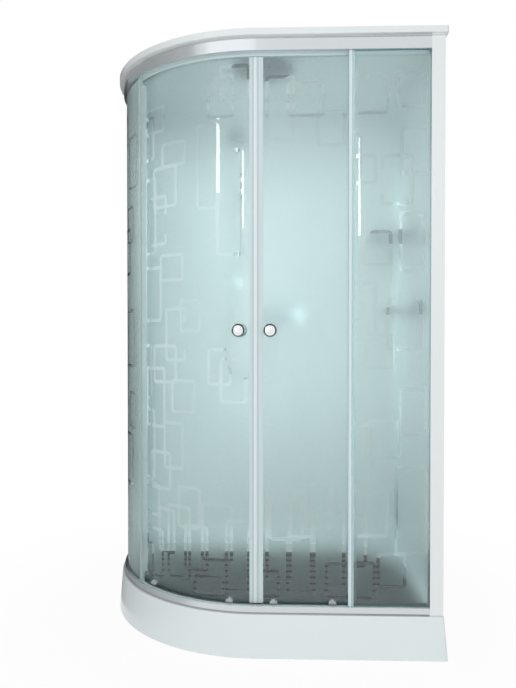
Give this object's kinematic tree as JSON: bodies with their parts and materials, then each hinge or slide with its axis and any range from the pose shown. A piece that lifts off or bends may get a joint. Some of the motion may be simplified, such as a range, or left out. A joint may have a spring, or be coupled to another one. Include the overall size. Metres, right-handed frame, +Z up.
{
  "type": "shower cabin",
  "caption": "Corner shower cabin with a low tray, frosted glass, one bent and one flat sliding door, an overhead shower and a hand shower on a bar.",
  "frame": {"origin": "on the floor, at the centre of the tray's outline", "axes": "+Z up, front with the doors towards -Y, wall panels towards +Y and +X"},
  "size_m": [1.2, 0.9, 2.15],
  "materials": {
    "tray_white": "gloss white acrylic",
    "frame_steel": "grey coated steel",
    "foot_plastic": "black moulded plastic",
    "zinc_nut": "zinc-plated steel",
    "grate_grey": "dark grey textured plastic",
    "drain_chrome": "polished chrome",
    "trap_plastic": "grey moulded plastic",
    "wall_white": "gloss white panel",
    "profile_silver": "bright anodised aluminium",
    "rail_silver": "polished aluminium",
    "frosted_glass": "frosted safety glass with clear outline lines",
    "seal_soft": "translucent soft seal",
    "stop_rubber": "black rubber",
    "roof_white": "gloss white moulding",
    "rain_chrome": "polished chrome",
    "nozzle_grey": "dark grey soft nozzles",
    "nut_brass": "turned brass",
    "hanger_chrome": "chromed fitting",
    "wheel_nylon": "white nylon",
    "guide_white": "white moulded plastic",
    "knob_chrome": "polished chrome",
    "bar_chrome": "polished chrome",
    "handset_chrome": "chrome-plated plastic",
    "hose_silver": "silver hose",
    "mixer_chrome": "polished chrome",
    "shelf_grey": "grey moulded plastic",
    "screw_chrome": "chromed screw cover"
  },
  "bodies": {
    "cabin": {"tray": "tray_white", "tray_frame": "frame_steel", "levelling_feet": "foot_plastic", "foot_nuts": "zinc_nut", "floor_grate": "grate_grey", "drain_flange": "drain_chrome", "drain_trap": "trap_plastic", "back_wall": "wall_white", "right_wall_front": "wall_white", "right_wall_rear": "wall_white", "wall_joint_strip": "profile_silver", "corner_post": "profile_silver", "left_wall_profile": "profile_silver", "right_wall_profile": "profile_silver", "bottom_rail": "rail_silver", "top_rail": "rail_silver", "left_fixed_glass": "frosted_glass", "right_fixed_glass": "frosted_glass", "left_fixed_seal": "seal_soft", "right_fixed_seal": "seal_soft", "door_stops": "stop_rubber", "roof": "roof_white", "rain_head": "rain_chrome", "rain_plate": "nozzle_grey", "rain_nut": "nut_brass", "slide_bar": "bar_chrome", "bar_brackets": "bar_chrome", "mixer_body": "mixer_chrome", "mixer_unions": "mixer_chrome", "hose_nut": "mixer_chrome", "shower_hose": "hose_silver", "upper_shelf": "shelf_grey", "lower_shelf": "shelf_grey", "shelf_screws": "screw_chrome"},
    "drain_cap": {"drain_cap": "drain_chrome"},
    "left_door": {"left_door_glass": "frosted_glass", "left_door_seal": "seal_soft", "left_door_hangers": "hanger_chrome", "left_door_guides": "guide_white", "left_outer_knob": "knob_chrome", "left_inner_knob": "knob_chrome"},
    "right_door": {"right_door_glass": "frosted_glass", "right_door_seal": "seal_soft", "right_door_hangers": "hanger_chrome", "right_door_guides": "guide_white", "right_outer_knob": "knob_chrome", "right_inner_knob": "knob_chrome"},
    "left_front_wheel": {"left_front_wheel": "wheel_nylon"},
    "left_rear_wheel": {"left_rear_wheel": "wheel_nylon"},
    "right_front_wheel": {"right_front_wheel": "wheel_nylon"},
    "right_rear_wheel": {"right_rear_wheel": "wheel_nylon"},
    "slider": {"slider": "handset_chrome"},
    "cradle": {"cradle": "handset_chrome", "hose_cone": "handset_chrome", "handset": "handset_chrome", "spray_plate": "nozzle_grey"},
    "mixer_cap": {"mixer_cap": "mixer_chrome"},
    "mixer_lever": {"mixer_lever": "mixer_chrome"},
    "diverter": {"diverter_knob": "mixer_chrome"}
  },
  "joints": [
    {"name": "left_door_turn", "type": "hinge", "parent": "cabin", "child": "left_door", "pos_m": [-0.032, 0.118, 1.089], "axis": [0, 0, -1], "range_deg": [0, 34]},
    {"name": "right_door_slide", "type": "slide", "parent": "cabin", "child": "right_door", "axis": [1, 0, 0], "range_m": [0, 0.23]},
    {"name": "left_front_wheel_spin", "type": "hinge", "parent": "left_door", "child": "left_front_wheel", "pos_m": [-0.12137, -0.37867, 2.0223], "axis": [-0.1771, -0.9842, 0], "range_deg": [-30, 1500]},
    {"name": "left_rear_wheel_spin", "type": "hinge", "parent": "left_door", "child": "left_rear_wheel", "pos_m": [-0.40228, -0.22488, 2.0223], "axis": [-0.7337, -0.6794, 0], "range_deg": [-30, 1500]},
    {"name": "right_front_wheel_spin", "type": "hinge", "parent": "right_door", "child": "right_front_wheel", "pos_m": [0.026, -0.38665, 2.0223], "axis": [0, 1, 0], "range_deg": [-30, 1130]},
    {"name": "right_rear_wheel_spin", "type": "hinge", "parent": "right_door", "child": "right_rear_wheel", "pos_m": [0.22402, -0.38665, 2.0223], "axis": [0, 1, 0], "range_deg": [-30, 1130]},
    {"name": "drain_cap_lift", "type": "slide", "parent": "cabin", "child": "drain_cap", "axis": [0, 0, 1], "range_m": [0, 0.05]},
    {"name": "handset_slide", "type": "slide", "parent": "cabin", "child": "slider", "axis": [0, 0, 1], "range_m": [-0.35, 0.04], "deforming": ["shower_hose"]},
    {"name": "handset_tilt", "type": "hinge", "parent": "slider", "child": "cradle", "pos_m": [-0.14, 0.322, 1.7], "axis": [1, 0, 0], "range_deg": [-10, 30]},
    {"name": "mixer_turn", "type": "hinge", "parent": "cabin", "child": "mixer_cap", "pos_m": [0.128, 0.323, 1.165], "axis": [0, 1, 0], "range_deg": [-50, 50]},
    {"name": "mixer_lift", "type": "hinge", "parent": "mixer_cap", "child": "mixer_lever", "pos_m": [0.128, 0.3113, 1.165], "axis": [-1, 0, 0], "range_deg": [0, 22]},
    {"name": "diverter_turn", "type": "hinge", "parent": "cabin", "child": "diverter", "pos_m": [-0.045, 0.368, 1.165], "axis": [1, 0, 0], "range_deg": [0, 90]}
  ],
  "couplings": [
    {"joint": "left_front_wheel_spin", "follows": "left_door_turn", "ratio": 42.054},
    {"joint": "left_rear_wheel_spin", "follows": "left_door_turn", "ratio": 42.054},
    {"joint": "right_front_wheel_spin", "follows": "right_door_slide", "rad_per_m": 83.333},
    {"joint": "right_rear_wheel_spin", "follows": "right_door_slide", "rad_per_m": 83.333}
  ]
}
